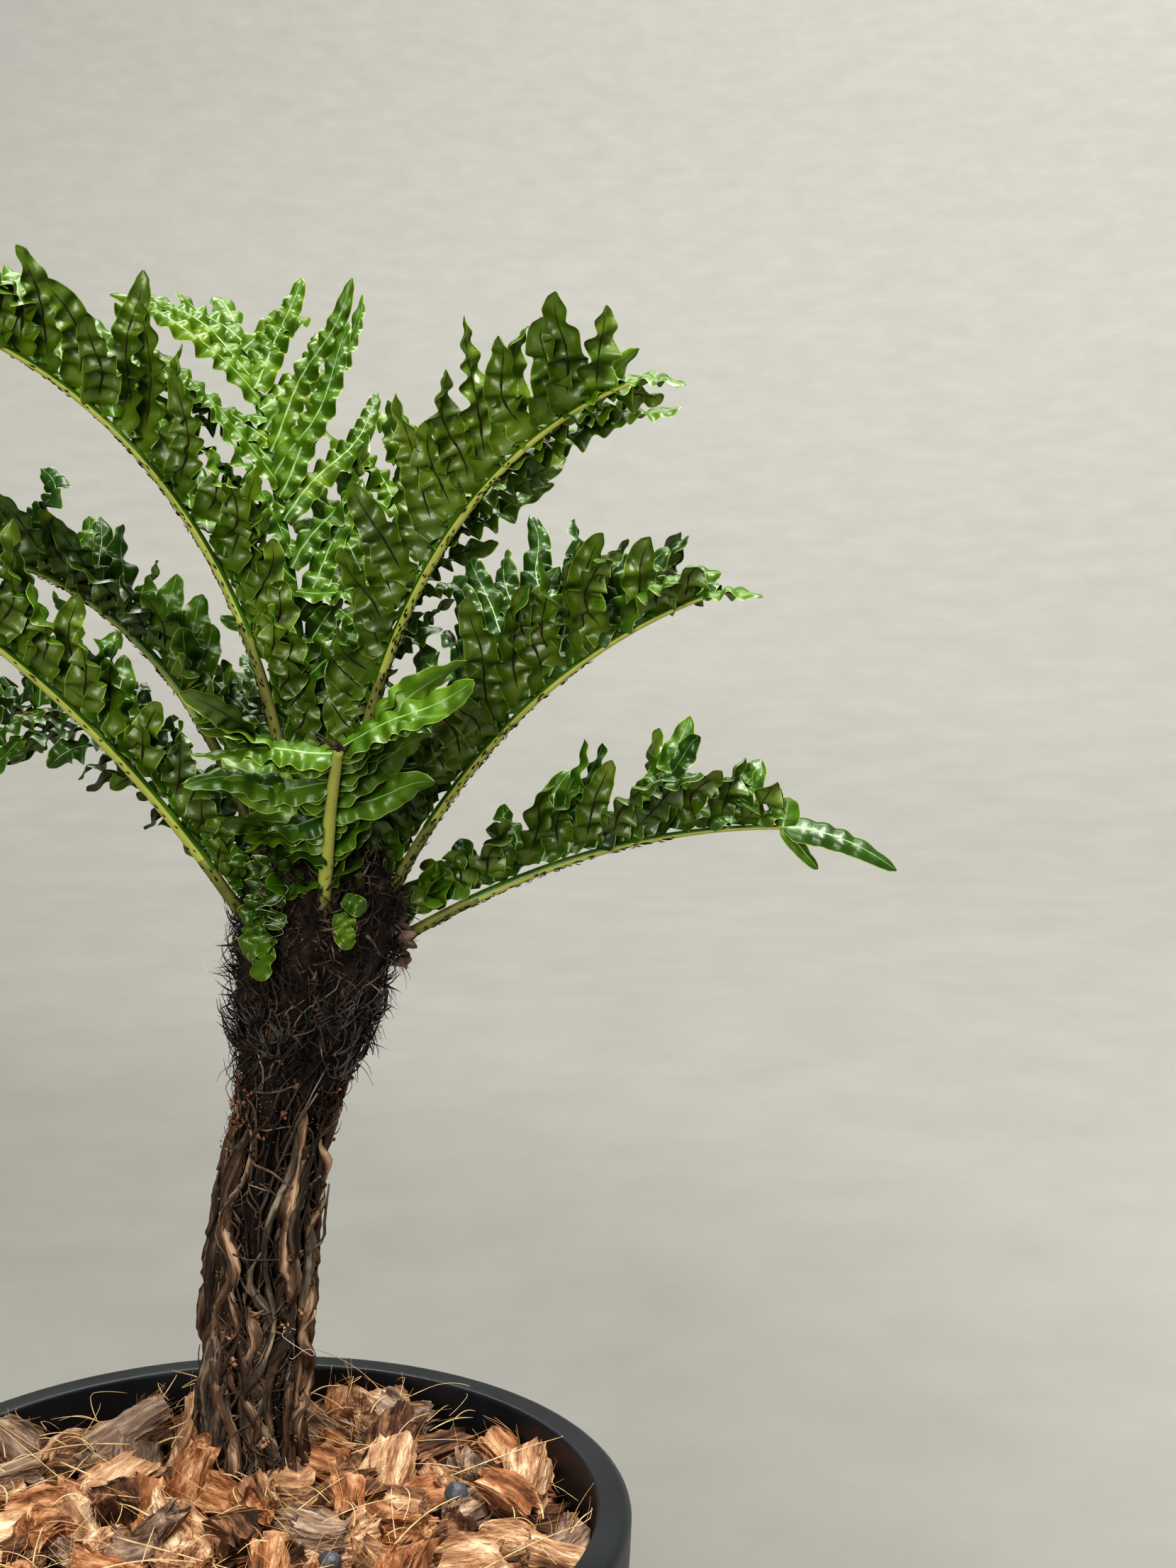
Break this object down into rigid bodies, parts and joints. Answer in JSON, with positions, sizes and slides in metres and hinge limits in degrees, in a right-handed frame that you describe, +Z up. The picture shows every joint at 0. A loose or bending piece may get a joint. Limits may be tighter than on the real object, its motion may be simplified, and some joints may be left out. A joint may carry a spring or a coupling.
{
  "type": "potted dwarf tree fern",
  "caption": "Small tree fern with a leaning fibrous trunk and a crown of arching, crisped fronds, standing in a round plastic pot topped with husk chips.",
  "frame": {"origin": "centre of the pot's flat underside", "axes": "+Z up the plant, +X to the right as seen from the pictured side, -Y towards the viewer"},
  "size_m": [0.2676, 0.2612, 0.4336],
  "materials": {
    "pot": "satin charcoal plastic",
    "potting_soil": "dark fibrous potting mix",
    "husk_mulch": "dry fibrous coconut husk chips",
    "trunk": "matted roots and dark scales",
    "frond": "glossy crisped green leaflets"
  },
  "bodies": {
    "root": {"pot": "pot", "potting_soil": "potting_soil", "husk_mulch": "husk_mulch", "trunk": "trunk", "frond_upper_left": "frond", "frond_upper_right": "frond", "frond_upper_back": "frond", "frond_mid_right": "frond", "frond_low_right": "frond", "frond_front_short": "frond", "frond_left_front": "frond", "frond_left_back": "frond", "frond_far_left": "frond", "frond_left_back_end": "frond", "frond_far_left_end": "frond", "frond_back_right": "frond", "frond_back_upper": "frond", "frond_back_low": "frond"}
  },
  "joints": []
}
